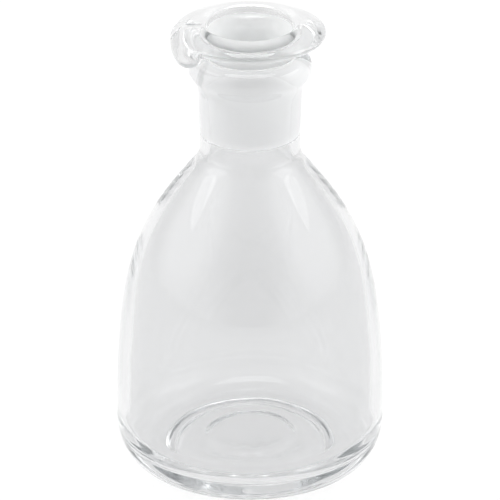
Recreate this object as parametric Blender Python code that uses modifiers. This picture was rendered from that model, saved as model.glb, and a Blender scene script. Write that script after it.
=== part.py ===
"""Glass dropping bottle with a ground-in, hollow pouring stopper.

Metres, +Z up. The origin is the centre of the ring that the bottle stands on, and the beak points to -Y.
Both pieces are turned about the Z axis. Every height is measured from the ring that the bottle stands on.
A turned outline is a list of (radius, height) pairs. It starts on the axis inside the hollow, climbs the
inner side, and runs down the outer side from top to bottom, back to the axis.
"""

from math import cos, pi, sin

import bmesh
import bpy
from mathutils import Matrix, Vector
from mathutils.geometry import interpolate_bezier

MM = 0.001
MERGE = 0.01 * MM
FACETS = 56  # round a turned piece

# Bottle, outside
BODY_R = 30.0 * MM
BODY_R_Z = 10.6 * MM  # height of the widest ring
FOOT_R = 22.7 * MM  # outer edge of the ring that the bottle stands on
FOOT_WIDTH = 1.8 * MM
PUSH_UP = 3.6 * MM  # rise of the underside at the centre
NECK_FOOT_R = 11.0 * MM
NECK_FOOT_Z = 74.9 * MM
NECK_TOP_R = 11.55 * MM
NECK_TOP_Z = 89.9 * MM
BEAD_R = 13.7 * MM
BEAD_Z = 94.8 * MM
LIP_R = 10.9 * MM
LIP_Z = 98.3 * MM

# Bottle, inside
WALL = 2.0 * MM
FLOOR_R = 20.0 * MM
FLOOR_Z = 5.6 * MM
FLOOR_RISE = 3.4 * MM  # rise of the floor over the push-up

# Ground joint
BORE_R = 9.75 * MM  # at the lip
BORE_FOOT_Z = 78.5 * MM
TAPER = 0.05  # change of radius over height
GROUND_GAP = 0.3 * MM

# Stopper
FLANGE_R = 16.7 * MM
FLANGE_Z = 104.2 * MM  # where the domed top of the flange turns down to its rim
RIM_R = 1.0 * MM  # roundness of the rim
FLANGE_ROOT_Z = 100.4 * MM  # underside of the flange beside the plug
PLUG_Z = 79.4 * MM
PLUG_TOP_Z = 99.2 * MM
HOLLOW_R = 9.0 * MM  # below the mouth
HOLLOW_FOOT_R = 7.3 * MM
HOLLOW_Z = 82.0 * MM
MOUTH_R = 10.8 * MM
MOUTH_Z = 105.4 * MM  # the stopper's highest ring
MOUTH_FOOT_Z = 103.4 * MM

# Beak: a tongue that follows the rim and hangs from it
BEAK_REACH = 17.6 * MM
BEAK_TIP_Z = 97.8 * MM
BEAK_WIDTH = 16.4 * MM
BEAK_THICKNESS = 2.7 * MM
BEAK_ROOT_R = 13.6 * MM
BEAK_ROUND_Z = 101.6 * MM  # where its rounded end begins
BEAK_END_STEPS = 12

# Grooves that let liquid out and air in while they line up
GROOVE_R = 1.2 * MM
GROOVE_DEPTH = 0.7 * MM
PLUG_GROOVE_TOP_Z = 92.0 * MM
NECK_GROOVE_FOOT_Z = 89.0 * MM


def remove_old_objects():
    for old in list(bpy.data.objects):
        bpy.data.objects.remove(old)


def new_collection(name):
    collection = bpy.data.collections.new(name)
    bpy.context.scene.collection.children.link(collection)
    return collection


def clear_glass(name, colour):
    material = bpy.data.materials.new(name)
    material.use_nodes = True
    shader = material.node_tree.nodes["Principled BSDF"]
    shader.inputs["Base Color"].default_value = (*colour, 1.0)
    shader.inputs["Roughness"].default_value = 0.05
    shader.inputs["Metallic"].default_value = 0.0
    shader.inputs["IOR"].default_value = 1.5
    shader.inputs["Transmission Weight"].default_value = 1.0
    return material


def curved(start, handle_1, handle_2, end, steps):
    """Points along a cubic curve, its start left out."""
    knots = [Vector(point) for point in (start, handle_1, handle_2, end)]
    return [tuple(point) for point in interpolate_bezier(*knots, steps + 1)[1:]]


def bore_radius(z):
    return BORE_R - TAPER * (LIP_Z - z)


def plug_radius(z):
    return bore_radius(z) - GROUND_GAP


def dome(foot_radius, foot_z, rise, steps):
    """A low, rounded rise from the axis out to its foot, both ends included."""
    points = []
    for i in range(steps + 1):
        radius = foot_radius * i / steps
        points.append((radius, foot_z + rise * (0.5 + 0.5 * cos(pi * i / steps))))
    return points


def bottle_inside():
    floor = dome(FLOOR_R, FLOOR_Z, FLOOR_RISE, 6)
    wide = (BODY_R - WALL, BODY_R_Z + WALL)
    heel = curved(floor[-1], (FLOOR_R + 5 * MM, FLOOR_Z), (wide[0], FLOOR_Z + 2 * MM), wide, 5)
    neck_foot = (bore_radius(BORE_FOOT_Z) + 0.5 * MM, NECK_FOOT_Z - 0.6 * MM)
    shoulder = curved(wide, (wide[0], 47.9 * MM), (23.4 * MM, 54.9 * MM), neck_foot, 12)
    bore_foot = (bore_radius(BORE_FOOT_Z), BORE_FOOT_Z)
    bore_top = (bore_radius(LIP_Z - 0.4 * MM), LIP_Z - 0.4 * MM)
    return [*floor, *heel, *shoulder, bore_foot, bore_top]


def bottle_outside():
    lip = [(BORE_R + 0.35 * MM, LIP_Z), (LIP_R, LIP_Z)]
    bead_top = curved(lip[-1], (12.0 * MM, 97.8 * MM), (BEAD_R, 96.4 * MM), (BEAD_R, BEAD_Z), 4)
    neck_top = (NECK_TOP_R, NECK_TOP_Z)
    bead_foot = curved(bead_top[-1], (BEAD_R, 92.9 * MM), (11.8 * MM, 92.2 * MM), neck_top, 4)
    neck_foot = (NECK_FOOT_R, NECK_FOOT_Z)
    wide = (BODY_R, BODY_R_Z)
    shoulder = curved(neck_foot, (25.1 * MM, 56.0 * MM), (BODY_R, 48.7 * MM), wide, 14)
    foot = (FOOT_R, 0.0)
    heel = curved(wide, (BODY_R, 4.4 * MM), (FOOT_R + 4.2 * MM, 0.0), foot, 7)
    underside = reversed(dome(FOOT_R - FOOT_WIDTH, 0.0, PUSH_UP, 5))
    return [*lip, *bead_top, *bead_foot, neck_foot, *shoulder, *heel, *underside]


def stopper_inside():
    floor = [(0.0, HOLLOW_Z), (HOLLOW_FOOT_R - 2.5 * MM, HOLLOW_Z)]
    foot = (HOLLOW_FOOT_R, HOLLOW_Z + 2.4 * MM)
    corner_handles = [(HOLLOW_FOOT_R - 0.9 * MM, HOLLOW_Z), (HOLLOW_FOOT_R, HOLLOW_Z + 0.9 * MM)]
    corner = curved(floor[-1], *corner_handles, foot, 3)
    wall_top = (HOLLOW_R, MOUTH_FOOT_Z)
    mouth_edge = (MOUTH_R, MOUTH_Z)
    mouth_handles = [(HOLLOW_R, MOUTH_FOOT_Z + 1.1 * MM), (MOUTH_R - 1.0 * MM, MOUTH_Z)]
    mouth = curved(wall_top, *mouth_handles, mouth_edge, 4)
    return [*floor, *corner, wall_top, *mouth]


def stopper_outside():
    crest = (MOUTH_R + 0.2 * MM, MOUTH_Z)
    dome_end = (FLANGE_R - 1.9 * MM, FLANGE_Z + 0.2 * MM)
    dome_handles = [(MOUTH_R + 1.3 * MM, MOUTH_Z), (FLANGE_R - 3.0 * MM, FLANGE_Z + 0.6 * MM)]
    dome_top = curved(crest, *dome_handles, dome_end, 3)
    rim_middle = (FLANGE_R, FLANGE_Z - RIM_R)
    above_rim = (FLANGE_R, FLANGE_Z - 0.4 * MM)
    rim_top = curved(dome_end, (FLANGE_R - 0.8 * MM, FLANGE_Z - 0.2 * MM), above_rim, rim_middle, 3)
    rim_foot = (FLANGE_R - 1.0 * MM, FLANGE_Z - 1.9 * MM)
    below_rim = (FLANGE_R, FLANGE_Z - 1.6 * MM)
    rim_under = curved(rim_middle, below_rim, (FLANGE_R - 0.4 * MM, rim_foot[1]), rim_foot, 3)
    plug_top = (plug_radius(PLUG_TOP_Z), PLUG_TOP_Z)
    root = (plug_top[0] + 1.3 * MM, FLANGE_ROOT_Z)
    root_curve = curved(root, (plug_top[0] + 0.5 * MM, FLANGE_ROOT_Z), (plug_top[0], 100.2 * MM), plug_top, 3)
    plug_foot = [(plug_radius(PLUG_Z) - 0.1 * MM, PLUG_Z + 0.8 * MM), (7.6 * MM, PLUG_Z), (0.0, PLUG_Z)]
    return [crest, *dome_top, *rim_top, *rim_under, root, *root_curve, *plug_foot]


def turned(name, outline, collection):
    """A body of revolution about the Z axis. An outline that ends where it starts makes a ring."""
    closed = outline[0] == outline[-1]
    points = outline[:-1] if closed else outline
    edges = [(i, i + 1) for i in range(len(points) - 1)]
    if closed:
        edges.append((len(points) - 1, 0))
    mesh = bpy.data.meshes.new(name)
    mesh.from_pydata([(radius, 0.0, z) for radius, z in points], edges, [])
    body = bpy.data.objects.new(name, mesh)
    collection.objects.link(body)
    screw = body.modifiers.new("turn", "SCREW")
    screw.axis = "Z"
    screw.steps = FACETS
    screw.render_steps = FACETS
    screw.use_merge_vertices = True
    screw.merge_threshold = MERGE
    screw.use_smooth_shade = True
    return body


def as_guide(shape, collection):
    """Marks a shape that only cuts or joins another."""
    for old in shape.users_collection:
        old.objects.unlink(shape)
    collection.objects.link(shape)
    shape.hide_render = True
    shape.display_type = "WIRE"
    return shape


def combine(body, other, operation):
    boolean = body.modifiers.new(other.name, "BOOLEAN")
    boolean.operation = operation
    boolean.solver = "EXACT"
    boolean.object = other


def groove_cutter(name, side, foot_z, top_z, cutters):
    """A round-bottomed groove along the ground taper, on the side of +Y (1) or -Y (-1)."""
    foot = Vector((0.0, side * groove_axis_radius(foot_z, name), foot_z))
    top = Vector((0.0, side * groove_axis_radius(top_z, name), top_z))
    mesh = bpy.data.meshes.new(name)
    cutter = bpy.data.objects.new(name, mesh)
    shape = bmesh.new()
    bmesh.ops.create_cone(
        shape, cap_ends=True, segments=12, radius1=GROOVE_R, radius2=GROOVE_R, depth=(top - foot).length
    )
    shape.to_mesh(mesh)
    shape.free()
    cutter.rotation_euler = (top - foot).to_track_quat("Z", "X").to_euler()
    cutter.location = (foot + top) / 2
    return as_guide(cutter, cutters)


def groove_axis_radius(z, name):
    """A neck groove is cut outwards from the bore, and a plug groove inwards from the plug."""
    if name.startswith("neck"):
        return bore_radius(z) + GROOVE_DEPTH - GROOVE_R
    return plug_radius(z) - GROOVE_DEPTH + GROOVE_R


def beak_side():
    """The beak cut through its middle, from its root down the outer face and up the inner face."""
    root = (FLANGE_R - 0.6 * MM, FLANGE_Z - 0.7 * MM)
    face = (BEAK_REACH, FLANGE_Z - 2.4 * MM)
    fold = curved(root, (BEAK_REACH - 0.3 * MM, root[1]), (BEAK_REACH, root[1] - 0.5 * MM), face, 3)
    tip_outer = (BEAK_REACH - 0.4 * MM, BEAK_TIP_Z + 1.2 * MM)
    tip_inner = (BEAK_REACH - BEAK_THICKNESS, BEAK_TIP_Z + 1.0 * MM)
    tip_handles = [(tip_outer[0] - 0.2 * MM, BEAK_TIP_Z - 0.3 * MM), (tip_inner[0], BEAK_TIP_Z - 0.3 * MM)]
    tip = curved(tip_outer, *tip_handles, tip_inner, 5)
    throat = (tip_inner[0] - 0.3 * MM, FLANGE_ROOT_Z + 0.4 * MM)
    inside_flange = [(BEAK_ROOT_R, FLANGE_Z - 2.0 * MM), (BEAK_ROOT_R, root[1])]
    return [root, *fold, tip_outer, *tip, throat, *inside_flange, root]


def beak_front():
    """The beak seen from the front, as (width, height) pairs: straight sides and a rounded end."""
    half = BEAK_WIDTH / 2
    depth = BEAK_ROUND_Z - BEAK_TIP_Z + 0.3 * MM
    round_end = []
    for i in range(BEAK_END_STEPS + 1):
        turn = pi * i / BEAK_END_STEPS
        round_end.append((half * cos(turn), BEAK_ROUND_Z - depth * sin(turn) ** 0.8))
    return [*round_end, (-half, FLANGE_Z), (half, FLANGE_Z)]


def flat_outline(name, points, thickness):
    """A closed outline in the curve's own XY plane, given a thickness along its Z."""
    data = bpy.data.curves.new(name, "CURVE")
    data.dimensions = "2D"
    data.fill_mode = "BOTH"
    data.extrude = thickness / 2
    spline = data.splines.new("POLY")
    spline.points.add(len(points) - 1)
    for point, (across, up) in zip(spline.points, points):
        point.co = (across, up, 0.0, 1.0)
    spline.use_cyclic_u = True
    curve = bpy.data.objects.new(name, data)
    bpy.context.scene.collection.objects.link(curve)
    return curve


def as_mesh(curve):
    """A mesh object in the curve's place, its caps welded on."""
    bpy.context.view_layer.update()
    evaluated = curve.evaluated_get(bpy.context.evaluated_depsgraph_get())
    mesh = bpy.data.meshes.new_from_object(evaluated)
    solid = bpy.data.objects.new(curve.name, mesh)
    solid.matrix_world = curve.matrix_world
    bpy.data.objects.remove(curve)
    welded = bmesh.new()
    welded.from_mesh(mesh)
    bmesh.ops.remove_doubles(welded, verts=welded.verts, dist=MERGE)
    bmesh.ops.recalc_face_normals(welded, faces=welded.faces)
    welded.to_mesh(mesh)
    welded.free()
    return solid


def beak_shape(cutters):
    """The beak on its own: a ring of its side outline, kept only where its front outline covers it."""
    front = flat_outline("beak_front", beak_front(), 2 * BEAK_ROOT_R)
    # The outline stands upright, across the -Y side of the ring.
    front.matrix_world = Matrix.Translation((0, -FLANGE_R, 0)) @ Matrix.Rotation(pi / 2, 4, "X")
    tongue = as_guide(as_mesh(front), cutters)
    beak = as_guide(turned("beak", beak_side(), cutters), cutters)
    combine(beak, tongue, "INTERSECT")
    return beak


def build_bottle(parts, cutters):
    outline = bottle_inside() + bottle_outside()
    bottle = turned("bottle", outline, parts)
    bottle.data.materials.append(clear_glass("bottle_glass", (0.93, 0.95, 0.95)))
    for name, side in (("neck_pour_groove", -1), ("neck_air_groove", 1)):
        cutter = groove_cutter(name, side, NECK_GROOVE_FOOT_Z, LIP_Z + 2 * MM, cutters)
        combine(bottle, cutter, "DIFFERENCE")


def build_stopper(parts, cutters):
    outline = stopper_inside() + stopper_outside()
    stopper = turned("stopper", outline, parts)
    stopper.data.materials.append(clear_glass("stopper_glass", (0.94, 0.95, 0.95)))
    combine(stopper, beak_shape(cutters), "UNION")
    for name, side in (("plug_pour_groove", -1), ("plug_air_groove", 1)):
        cutter = groove_cutter(name, side, PLUG_Z - 2 * MM, PLUG_GROOVE_TOP_Z, cutters)
        combine(stopper, cutter, "DIFFERENCE")


def main():
    remove_old_objects()
    parts = new_collection("dropping_bottle")
    cutters = new_collection("cutters")
    build_bottle(parts, cutters)
    build_stopper(parts, cutters)


main()
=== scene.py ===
"""Looks of a clear glass dropping bottle with a ground-in pouring stopper.

The outlines are in millimetres, which MM turns into metres. The stage and the camera are in metres.
"""
from math import atan2, cos, pi, radians, sin

import bpy
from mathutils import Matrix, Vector, noise
from mathutils.geometry import interpolate_bezier

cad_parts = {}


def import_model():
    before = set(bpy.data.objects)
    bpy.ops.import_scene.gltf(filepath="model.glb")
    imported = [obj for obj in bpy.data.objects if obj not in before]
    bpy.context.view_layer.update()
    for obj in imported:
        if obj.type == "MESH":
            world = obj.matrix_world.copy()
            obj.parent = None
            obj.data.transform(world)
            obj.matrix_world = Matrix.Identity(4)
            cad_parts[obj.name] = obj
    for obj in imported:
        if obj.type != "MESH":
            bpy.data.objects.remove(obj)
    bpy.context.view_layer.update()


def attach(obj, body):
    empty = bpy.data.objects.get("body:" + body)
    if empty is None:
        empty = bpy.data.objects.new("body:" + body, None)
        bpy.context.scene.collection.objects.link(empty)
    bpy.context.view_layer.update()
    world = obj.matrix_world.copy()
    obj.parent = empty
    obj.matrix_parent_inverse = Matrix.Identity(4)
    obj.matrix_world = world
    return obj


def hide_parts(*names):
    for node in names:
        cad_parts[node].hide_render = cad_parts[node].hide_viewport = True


MM = 0.001
BOTTLE_COLUMNS, STOPPER_COLUMNS = 230, 360  # round each piece

# Bottle
BODY_R, BODY_R_Z = 30.0, 10.6
FOOT_R, FOOT_WIDTH = 22.7, 1.8
NECK_FOOT = (11.0, 74.9)
NECK_TOP = (11.55, 89.9)
BEAD_R, BEAD_Z = 13.7, 94.8
LIP_Z = 98.3
WALL = 2.0
FLOOR_TOP_Z = 6.8
PUSH_UP_R, PUSH_UP_Z = 10.6, 2.6
BORE_R, TAPER = 9.75, 0.05
BORE_FOOT_Z = 78.5

# Stopper
FLANGE_R, FLANGE_EDGE_Z = 16.7, 103.1
PLUG_GAP = 0.3
PLUG_Z, PLUG_TOP_Z = 79.4, 99.2
HOLLOW_R, HOLLOW_Z = 7.3, 82.0  # at its foot
FUNNEL_R, FUNNEL_Z = 9.3, 103.8
MOUTH_R, MOUTH_Z = 10.8, 105.4
FLANGE_ROOT_Z = 100.4
BEAK_HALF_ANGLE = radians(32.0)

# Grooves, in the neck and in the plug
GROOVE_R, GROOVE_DEPTH = 1.2, 0.7
PLUG_GROOVE_TOP_Z, NECK_GROOVE_FOOT_Z = 92.0, 89.0
GROOVE_END = 1.0  # length over which a groove runs out

# Uneven blown glass. Each pair is where it starts and where it is full: heights, or radii on the floor.
UNEVEN_FROM_Z = 6.0, 16.0
WAVE_DEPTH, WAVES_ROUND, WAVE_LENGTH, WAVE_SHIFT = 0.2, 1.6, 40.0, 4.0
WAVES_TO_Z = 72.0, 52.0
THICK_DEPTH, THICK_TO_Z = 0.6, (56.0, 30.0)  # the lower wall is thicker
THICK_ALL_ROUND, THICK_AT_SIDES = 0.6, 0.4  # shares of that depth
THICK_SIDE = radians(72.0)  # from +X; the other thick side is opposite
FLOOR_WAVE_DEPTH, FLOOR_WAVE_LENGTH = 0.2, 12.0
FLOOR_WAVES_TO_R = 20.0, 12.0
FLOOR_MIDDLE_Z, TOP_LAYER, UNDERSIDE_LAYER = 4.0, 3.0, 7.0  # the floor's two faces have waves of their own

# Glass
REFRACTION = 1.5
BOTTLE_TINT = (0.845, 0.848, 0.852)
STOPPER_TINT = (0.86, 0.863, 0.865)
BOTTLE_GROUND = (1.0, 1.0, 1.0)
STOPPER_GROUND = (0.89, 0.895, 0.895)
DEPTH_COLOUR, DEPTH_DENSITY = (0.8, 0.81, 0.815, 1.0), 14.0
GROUND_CLEARNESS = 0.25
GROUND_ROUGHNESS = 0.3, 0.42
GROUND_SHARE = "ground_share"
GRIT_SCALE, GRIT_STRETCH, GRIT_DETAIL = 500.0, (1.0, 1.0, 6.0), 3.0
RIPPLE_SCALE, RIPPLE_STRETCH, RIPPLE_DETAIL = 90.0, (1.0, 1.0, 0.25), 2.0
RIPPLE_STRENGTH, RIPPLE_HEIGHT = 0.5, 0.06 * MM

# Camera
CAMERA_AZIMUTH = radians(72.0)  # from the beak's side, -Y, towards +X
CAMERA_PITCH = radians(25.1)
CAMERA_DISTANCE = 1.339
CAMERA_LENS, SENSOR_WIDTH = 432.0, 36.0
AIM_HEIGHT = 0.05026

# Stage. Places and directions are to the right, away from the camera, and up.
LIGHT_BOUNCES = 256
FLOOR_SIZE = 6.0
FLOOR_GAP = 0.0002
FLOOR_COLOUR = (0.16, 0.16, 0.16, 1.0)
FLOOR_GLOW, FLOOR_GLOW_FRONT = 0.84, 0.55
FLOOR_NEAR, FLOOR_FAR = 0.06, 0.8  # in front of the bottle, where the glow starts and stops fading
STUDIO_BRIGHT, STUDIO_DARK = 0.9, 0.2
DARK_TOWARDS, DARK_SPREAD = (0.0, -1.0, 0.3), (8, 44)  # degrees to full strength, and to nothing
PATCH_TOWARDS, PATCH_SPREAD, PATCH_STRENGTH = (1.0, -0.1, 0.6), (10, 42), 0.9
LAMPS = (  # name, place, width, watts
    ("overhead", (0.0, 0.2, 1.0), 0.4, 2.0),
    ("left", (-0.8, 0.1, 0.8), 0.6, 1.4),
    ("right", (0.8, 0.1, 0.8), 0.6, 1.4),
)

# Kinds of surface along an outline. Matt ones are as rough as ground ones, but have no groove.
PLAIN, GROUND, MATT, BLOWN, FLOOR = range(5)


def bore(z):
    return BORE_R - TAPER * (LIP_Z - z)


def smooth(t):
    t = min(max(t, 0.0), 1.0)
    return t * t * (3 - 2 * t)


def fade(value, start, full):
    """0 before start, 1 beyond full, and smooth between them; full may be the smaller one."""
    return smooth((value - start) / (full - start))


class Outline:
    """A turned outline as (radius, height, kind) points, from the axis inside to the axis underneath."""

    def __init__(self, radius, z):
        self.points = [(radius, z, PLAIN)]

    def line(self, radius, z, steps=1, kind=PLAIN):
        r0, z0, _ = self.points[-1]
        for i in range(1, steps + 1):
            t = i / steps
            self.points.append((r0 + (radius - r0) * t, z0 + (z - z0) * t, kind))

    def curve(self, handle_1, handle_2, end, steps, kind=PLAIN):
        start = self.points[-1][:2]
        knots = [Vector(p) for p in (start, handle_1, handle_2, end)]
        for p in interpolate_bezier(*knots, steps + 1)[1:]:
            self.points.append((p[0], p[1], kind))


def bottle_outline():
    inner_r = BODY_R - WALL
    foot_r, lip_r = bore(BORE_FOOT_Z), bore(LIP_Z)
    outline = Outline(0.0, FLOOR_TOP_Z)

    # Inner floor, heel and wall
    outline.curve((8.5, FLOOR_TOP_Z), (13.5, 4.9), (20.5, 5.0), 26, FLOOR)
    outline.curve((25.4, 5.1), (inner_r, 7.6), (inner_r, BODY_R_Z + WALL), 20, BLOWN)
    outline.curve((inner_r, 47.9), (23.4, 54.9), (foot_r + 0.5, 74.3), 110, BLOWN)

    # Bore, lip and bead
    outline.curve((foot_r + 0.05, 75.4), (foot_r, 76.6), (foot_r, BORE_FOOT_Z), 8)
    outline.line(bore(LIP_Z - 0.5), LIP_Z - 0.5, 40, GROUND)
    outline.curve((lip_r + 0.02, LIP_Z - 0.15), (lip_r + 0.2, LIP_Z), (lip_r + 0.6, LIP_Z), 6, GROUND)
    outline.curve((12.2, LIP_Z), (BEAD_R, 96.8), (BEAD_R, BEAD_Z), 14)
    outline.curve((BEAD_R, 93.0), (11.75, 92.3), NECK_TOP, 14)

    # Neck, shoulder and body
    neck_r, neck_z = NECK_FOOT
    outline.line(neck_r + 0.07, neck_z + 1.6, 10)
    outline.curve((neck_r, neck_z + 0.6), (neck_r + 0.4, 73.6), (12.55, 72.2), 6)
    outline.curve((25.0, 56.4), (BODY_R, 48.7), (BODY_R, BODY_R_Z), 110)

    # Foot and pushed-up underside
    outline.curve((BODY_R, 4.4), (FOOT_R + 4.2, 0.0), (FOOT_R, 0.0), 20)
    outline.line(FOOT_R - FOOT_WIDTH, 0.0, 3)
    outline.curve((19.9, 0.02), (19.0, 0.15), (18.4, 0.7), 8)
    outline.curve((17.2, 1.8), (15.5, PUSH_UP_Z), (PUSH_UP_R, PUSH_UP_Z), 12, FLOOR)
    outline.curve((9.9, 2.65), (9.4, 3.1), (8.2, 3.2), 6, FLOOR)
    outline.line(0.0, 3.3, 8, FLOOR)
    return outline.points


def stopper_outline(beak):
    """The outline at the plain rim, or through the middle of the beak. Both have as many points."""
    outline = Outline(0.0, HOLLOW_Z)
    top_r = bore(PLUG_TOP_Z) - PLUG_GAP
    foot_z = PLUG_Z + 1.0
    foot_r = bore(foot_z) - PLUG_GAP
    root = (top_r + 1.2, FLANGE_ROOT_Z)

    # Hollow and mouth
    outline.line(HOLLOW_R - 2.5, HOLLOW_Z, 5, MATT)
    outline.curve((HOLLOW_R - 0.9, HOLLOW_Z), (HOLLOW_R, HOLLOW_Z + 0.9), (HOLLOW_R, HOLLOW_Z + 2.4), 8, MATT)
    outline.line(FUNNEL_R, FUNNEL_Z, 20, MATT)
    outline.curve((FUNNEL_R + 0.1, FUNNEL_Z + 0.8), (MOUTH_R - 0.9, MOUTH_Z), (MOUTH_R, MOUTH_Z), 20)

    # Flange
    outline.curve((MOUTH_R + 0.9, MOUTH_Z), (12.6, 105.2), (13.6, 104.85), 5)
    if beak:
        outline.curve((15.2, 104.3), (17.4, 103.7), (17.55, 101.6), 12)
        outline.curve((17.65, 100.4), (17.4, 97.6), (16.0, 97.7), 8)
        outline.curve((14.9, 97.8), (14.9, 99.0), (14.6, 100.6), 6)
        outline.curve((14.2, 101.3), (12.6, 100.7), root, 6)
    else:
        outline.curve((15.2, 104.3), (FLANGE_R, 103.9), (FLANGE_R, FLANGE_EDGE_Z), 12)
        outline.curve((FLANGE_R, 102.7), (16.5, 102.45), (15.8, 102.3), 8)
        outline.curve((15.2, 102.2), (14.6, 102.0), (14.0, 101.8), 6)
        outline.curve((13.0, 101.3), (11.8, 100.8), root, 6)

    # Plug's side and bottom
    outline.curve((top_r + 0.5, FLANGE_ROOT_Z), (top_r, FLANGE_ROOT_Z - 0.2), (top_r, PLUG_TOP_Z), 6, MATT)
    outline.line(foot_r, foot_z, 44, GROUND)
    outline.curve((foot_r, PLUG_Z + 0.3), (foot_r - 0.3, PLUG_Z), (foot_r - 1.0, PLUG_Z), 6)
    outline.line(0.0, PLUG_Z, 8)
    return outline.points


def groove_depth(across):
    """How deep a groove is at this distance from its middle."""
    if abs(across) >= GROOVE_R:
        return 0.0
    return max((GROOVE_R**2 - across**2) ** 0.5 - (GROOVE_R - GROOVE_DEPTH), 0.0)


def off_beak(angle):
    """The angle round from -Y, in -pi..pi."""
    return atan2(sin(angle + pi / 2), cos(angle + pi / 2))


def off_groove(angle):
    """The angle round from the nearer groove; one groove is below the beak, and one is opposite it."""
    return min(abs(off_beak(angle)), pi - abs(off_beak(angle)))


def beak_shares(angle):
    """How far the beak stands out, and how far it hangs down, at this angle round from its middle."""
    t = abs(angle) / BEAK_HALF_ANGLE
    return ((1 - t**5) ** 0.5, (1 - t**2.2) ** 0.6) if t < 1 else (0.0, 0.0)


def bottle_point(point, angle):
    r, z, kind = point
    if kind == GROUND:
        depth = groove_depth(off_groove(angle) * r)
        r += depth * fade(z, NECK_GROOVE_FOOT_Z, NECK_GROOVE_FOOT_Z + GROOVE_END)
    elif kind == BLOWN:
        x, y = WAVES_ROUND * cos(angle) + WAVE_SHIFT, WAVES_ROUND * sin(angle)
        wave = noise.noise(Vector((x, y, z / WAVE_LENGTH)))
        r += WAVE_DEPTH * wave * fade(z, *UNEVEN_FROM_Z) * fade(z, *WAVES_TO_Z)
        share = THICK_ALL_ROUND + THICK_AT_SIDES * cos(2 * (angle - THICK_SIDE))
        r -= THICK_DEPTH * share * fade(z, *UNEVEN_FROM_Z) * fade(z, *THICK_TO_Z)
    elif kind == FLOOR:
        x, y = r * cos(angle) / FLOOR_WAVE_LENGTH, r * sin(angle) / FLOOR_WAVE_LENGTH
        wave = noise.noise(Vector((x, y, TOP_LAYER if z > FLOOR_MIDDLE_Z else UNDERSIDE_LAYER)))
        z += FLOOR_WAVE_DEPTH * wave * fade(r, *FLOOR_WAVES_TO_R)
    return r, z


def stopper_point(point, angle):
    r, z, kind, beak_r, beak_z = point
    out, down = beak_shares(off_beak(angle))
    r += (beak_r - r) * out
    z += (beak_z - z) * down
    if kind == GROUND:
        depth = groove_depth(off_groove(angle) * r)
        r -= depth * fade(z, PLUG_GROOVE_TOP_Z, PLUG_GROOVE_TOP_Z - GROOVE_END)
    return r, z


def turned(name, outline, count, place):
    """A closed mesh with count columns. place gives an outline point's radius and height at an angle."""
    angles = [2 * pi * i / count for i in range(count)]
    vertices = [(0.0, 0.0, outline[0][1] * MM)]
    for point in outline[1:-1]:
        for angle in angles:
            r, z = place(point, angle)
            vertices.append((r * cos(angle) * MM, r * sin(angle) * MM, z * MM))
    vertices.append((0.0, 0.0, outline[-1][1] * MM))
    faces = []
    rows = len(outline) - 2
    last = 1 + (rows - 1) * count
    for j in range(count):
        k = (j + 1) % count
        faces.append((0, 1 + j, 1 + k))
        for row in range(rows - 1):
            a = 1 + row * count
            b = a + count
            faces.append((a + j, b + j, b + k, a + k))
        faces.append((last + j, len(vertices) - 1, last + k))
    mesh = bpy.data.meshes.new(name)
    mesh.from_pydata(vertices, [], faces)
    share = mesh.attributes.new(GROUND_SHARE, "FLOAT", "POINT")
    row_shares = [float(point[2] in (GROUND, MATT)) for point in outline[1:-1]]
    share.data.foreach_set("value", [0.0, *(value for value in row_shares for _ in angles), 0.0])
    mesh.shade_smooth()
    piece = bpy.data.objects.new(name, mesh)
    bpy.context.scene.collection.objects.link(piece)
    return piece


def make_bottle():
    return turned("bottle_glass", bottle_outline(), BOTTLE_COLUMNS, bottle_point)


def make_stopper():
    """Its outline's points hold their place at the plain rim, their kind, and their place at the beak."""
    plain, beak = stopper_outline(False), stopper_outline(True)
    outline = [(r, z, kind, beak_r, beak_z) for (r, z, kind), (beak_r, beak_z, _) in zip(plain, beak)]
    return turned("stopper_glass", outline, STOPPER_COLUMNS, stopper_point)


def new_material(name):
    material = bpy.data.materials.new(name)
    material.use_nodes = True
    tree = material.node_tree
    return material, tree.nodes, tree.links, tree.nodes["Principled BSDF"]


def noise_node(nodes, links, scale, stretch, detail):
    coordinates = nodes.new("ShaderNodeTexCoord")
    mapping = nodes.new("ShaderNodeMapping")
    mapping.inputs["Scale"].default_value = stretch
    texture = nodes.new("ShaderNodeTexNoise")
    texture.inputs["Scale"].default_value = scale
    texture.inputs["Detail"].default_value = detail
    links.new(coordinates.outputs["Object"], mapping.inputs["Vector"])
    links.new(mapping.outputs["Vector"], texture.inputs["Vector"])
    return texture


def by_share(nodes, links, share, clear, ground):
    """A number that goes from its clear value to its ground one; the ground one may be a node's output."""
    mix = nodes.new("ShaderNodeMix")
    mix.inputs["A"].default_value = clear
    if isinstance(ground, float):
        mix.inputs["B"].default_value = ground
    else:
        links.new(ground, mix.inputs["B"])
    links.new(share, mix.inputs["Factor"])
    return mix.outputs["Result"]


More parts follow.
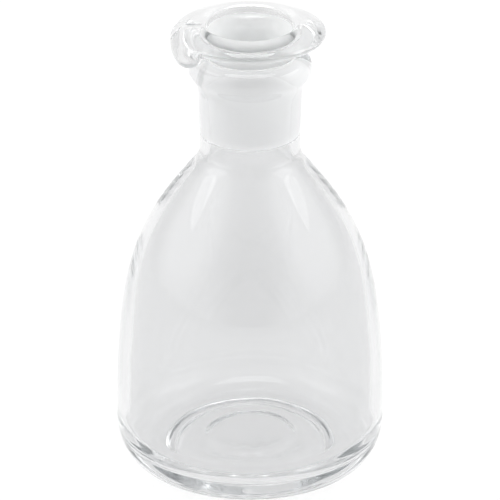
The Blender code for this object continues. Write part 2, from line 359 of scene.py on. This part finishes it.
def glass(name, colour, ground_colour):
    """Clear glass with faint upright ripples, frosted by fine grit where it is ground or matt."""
    material, nodes, links, shader = new_material(name)
    shader.inputs["IOR"].default_value = REFRACTION
    attribute = nodes.new("ShaderNodeAttribute")
    attribute.attribute_name = GROUND_SHARE
    share = attribute.outputs["Fac"]

    tint = nodes.new("ShaderNodeMix")
    tint.data_type = "RGBA"
    tint.inputs["A"].default_value = (*colour, 1.0)
    tint.inputs["B"].default_value = (*ground_colour, 1.0)
    links.new(share, tint.inputs["Factor"])
    links.new(tint.outputs["Result"], shader.inputs["Base Color"])

    grit = noise_node(nodes, links, GRIT_SCALE, GRIT_STRETCH, GRIT_DETAIL)
    spread = nodes.new("ShaderNodeMapRange")
    spread.inputs["To Min"].default_value, spread.inputs["To Max"].default_value = GROUND_ROUGHNESS
    links.new(grit.outputs["Fac"], spread.inputs["Value"])
    links.new(by_share(nodes, links, share, 0.0, spread.outputs["Result"]), shader.inputs["Roughness"])
    links.new(by_share(nodes, links, share, 1.0, GROUND_CLEARNESS), shader.inputs["Transmission Weight"])

    ripples = noise_node(nodes, links, RIPPLE_SCALE, RIPPLE_STRETCH, RIPPLE_DETAIL)
    bump = nodes.new("ShaderNodeBump")
    bump.inputs["Strength"].default_value = RIPPLE_STRENGTH
    bump.inputs["Distance"].default_value = RIPPLE_HEIGHT
    links.new(ripples.outputs["Fac"], bump.inputs["Height"])
    links.new(bump.outputs["Normal"], shader.inputs["Normal"])

    depth = nodes.new("ShaderNodeVolumeAbsorption")
    depth.inputs["Color"].default_value = DEPTH_COLOUR
    depth.inputs["Density"].default_value = DEPTH_DENSITY
    output = next(node for node in nodes if node.type == "OUTPUT_MATERIAL")
    links.new(depth.outputs["Volume"], output.inputs["Volume"])
    return material


def dress(piece, node, tint, ground_tint):
    """Gives a piece its glass, and puts it in its CAD node's place."""
    piece.data.materials.append(glass(node + "_glass", tint, ground_tint))
    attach(piece, node)
    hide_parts(node)


def beside_camera(right, back, up):
    """A place given as the camera sees it: to the right, away from the camera, and up."""
    a = CAMERA_AZIMUTH
    return (right * cos(a) - back * sin(a), right * sin(a) + back * cos(a), up)


def soft_step(nodes, links, value, start, end, before, after):
    """A node's output that goes softly from one value to another as its input passes from start to end."""
    step = nodes.new("ShaderNodeMapRange")
    step.interpolation_type = "SMOOTHSTEP"
    step.inputs["From Min"].default_value = start
    step.inputs["From Max"].default_value = end
    step.inputs["To Min"].default_value = before
    step.inputs["To Max"].default_value = after
    links.new(value, step.inputs["Value"])
    return step.outputs["Result"]


def along(nodes, links, vector, direction):
    """How far a vector, which is a node's output, goes in a direction."""
    dot = nodes.new("ShaderNodeVectorMath")
    dot.operation = "DOT_PRODUCT"
    dot.inputs[1].default_value = direction
    links.new(vector, dot.inputs[0])
    return dot.outputs["Value"]


def set_floor():
    """A pale light table, which glows a little less further out on the camera's side."""
    mesh = bpy.data.meshes.new("floor")
    half = FLOOR_SIZE / 2
    corners = [(-half, -half), (half, -half), (half, half), (-half, half)]
    mesh.from_pydata([(x, y, -FLOOR_GAP) for x, y in corners], [], [(0, 1, 2, 3)])
    floor = bpy.data.objects.new("floor", mesh)
    bpy.context.scene.collection.objects.link(floor)
    material, nodes, links, shader = new_material("floor_light_table")
    shader.inputs["Base Color"].default_value = FLOOR_COLOUR
    shader.inputs["Roughness"].default_value = 1.0
    shader.inputs["Specular IOR Level"].default_value = 0.0
    shader.inputs["Emission Color"].default_value = (1.0, 1.0, 1.0, 1.0)
    geometry = nodes.new("ShaderNodeNewGeometry")
    forward = along(nodes, links, geometry.outputs["Position"], beside_camera(0, -1, 0))
    fading = soft_step(nodes, links, forward, FLOOR_NEAR, FLOOR_FAR, FLOOR_GLOW, FLOOR_GLOW_FRONT)
    links.new(fading, shader.inputs["Emission Strength"])
    mesh.materials.append(material)


def glow(nodes, links, towards, spread, outside, middle):
    """A soft patch of the studio: middle within the first angle of its spread, outside beyond the second."""
    near, far = (cos(radians(degrees)) for degrees in spread)
    coordinates = nodes.new("ShaderNodeTexCoord")
    direction = Vector(beside_camera(*towards)).normalized()
    closeness = along(nodes, links, coordinates.outputs["Generated"], direction)
    return soft_step(nodes, links, closeness, far, near, outside, middle)


def set_world():
    """A pale studio, darker behind the camera, with a soft bright patch on the left and on the right."""
    world = bpy.data.worlds.new("studio")
    bpy.context.scene.world = world
    world.use_nodes = True
    nodes, links = world.node_tree.nodes, world.node_tree.links
    total = glow(nodes, links, DARK_TOWARDS, DARK_SPREAD, STUDIO_BRIGHT, STUDIO_DARK)
    right, back, up = PATCH_TOWARDS
    for side in (-1, 1):
        patch = glow(nodes, links, (side * right, back, up), PATCH_SPREAD, 0.0, PATCH_STRENGTH)
        add = nodes.new("ShaderNodeMath")
        add.operation = "ADD"
        links.new(total, add.inputs[0])
        links.new(patch, add.inputs[1])
        total = add.outputs["Value"]
    links.new(total, nodes["Background"].inputs["Color"])


def add_lamp(name, place, width, watts):
    """A square soft light that points at the middle of the bottle's foot."""
    data = bpy.data.lights.new(name, "AREA")
    data.shape = "SQUARE"
    data.size = width
    data.energy = watts
    lamp = bpy.data.objects.new(name, data)
    lamp.location = beside_camera(*place)
    lamp.rotation_euler = (-lamp.location).to_track_quat("-Z", "Y").to_euler()
    bpy.context.scene.collection.objects.link(lamp)


def set_stage():
    set_floor()
    set_world()
    for lamp in LAMPS:
        add_lamp(*lamp)


def set_camera():
    data = bpy.data.cameras.new("camera")
    data.lens = CAMERA_LENS
    data.sensor_width = SENSOR_WIDTH
    camera = bpy.data.objects.new("camera", data)
    level = cos(CAMERA_PITCH) * CAMERA_DISTANCE
    camera.location = (
        level * sin(CAMERA_AZIMUTH),
        -level * cos(CAMERA_AZIMUTH),
        AIM_HEIGHT + sin(CAMERA_PITCH) * CAMERA_DISTANCE,
    )
    aim = Vector((0, 0, AIM_HEIGHT)) - camera.location
    camera.rotation_euler = aim.to_track_quat("-Z", "Y").to_euler()
    bpy.context.scene.collection.objects.link(camera)
    bpy.context.scene.camera = camera


def set_light_paths():
    """Lets light through many glass surfaces. The usual limits would cut it off."""
    cycles = bpy.context.scene.cycles
    cycles.max_bounces = LIGHT_BOUNCES
    cycles.transmission_bounces = LIGHT_BOUNCES
    cycles.glossy_bounces = LIGHT_BOUNCES
    cycles.diffuse_bounces = LIGHT_BOUNCES
    cycles.blur_glossy = 0.0


def main():
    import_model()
    dress(make_bottle(), "bottle", BOTTLE_TINT, BOTTLE_GROUND)
    dress(make_stopper(), "stopper", STOPPER_TINT, STOPPER_GROUND)
    set_stage()
    set_camera()
    set_light_paths()
    bpy.context.scene.view_settings.view_transform = "Standard"


main()
